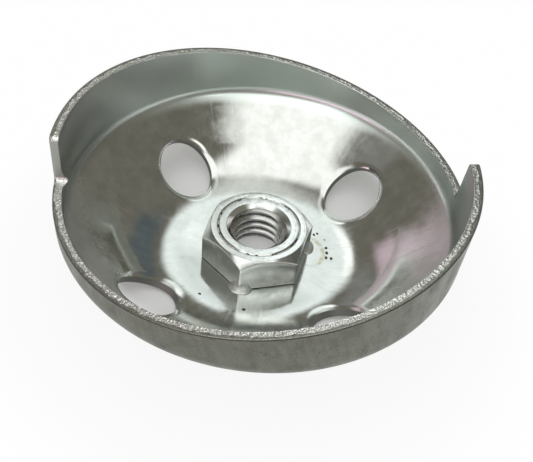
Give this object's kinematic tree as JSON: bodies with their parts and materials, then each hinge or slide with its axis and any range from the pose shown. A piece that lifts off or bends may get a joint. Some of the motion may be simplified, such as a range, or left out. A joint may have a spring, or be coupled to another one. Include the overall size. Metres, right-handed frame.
{
  "type": "starter pulley",
  "caption": "Pressed steel starter cup with a stepped ratchet rim, a dished and pierced floor and a hexagon weld nut in the centre that screws onto a crank end.",
  "frame": {"origin": "centre of the flat seat face under the floor, on the axis of the thread", "axes": "+Z along the thread axis towards the open side of the cup; the tooth tips lie on the X axis"},
  "size_m": [0.0554, 0.0554, 0.0202],
  "materials": {
    "zinc_sheet": "bright zinc plate on drawn sheet: glossy inside the dish, satin with draw lines on the outer wall, sheared edge bare and broken",
    "zinc_nut": "bright zinc plate on a turned and pressed nut, with brown heat marks at the welds"
  },
  "bodies": {
    "root": {"pulley_cup": "zinc_sheet", "hub_nut": "zinc_nut"}
  },
  "joints": []
}
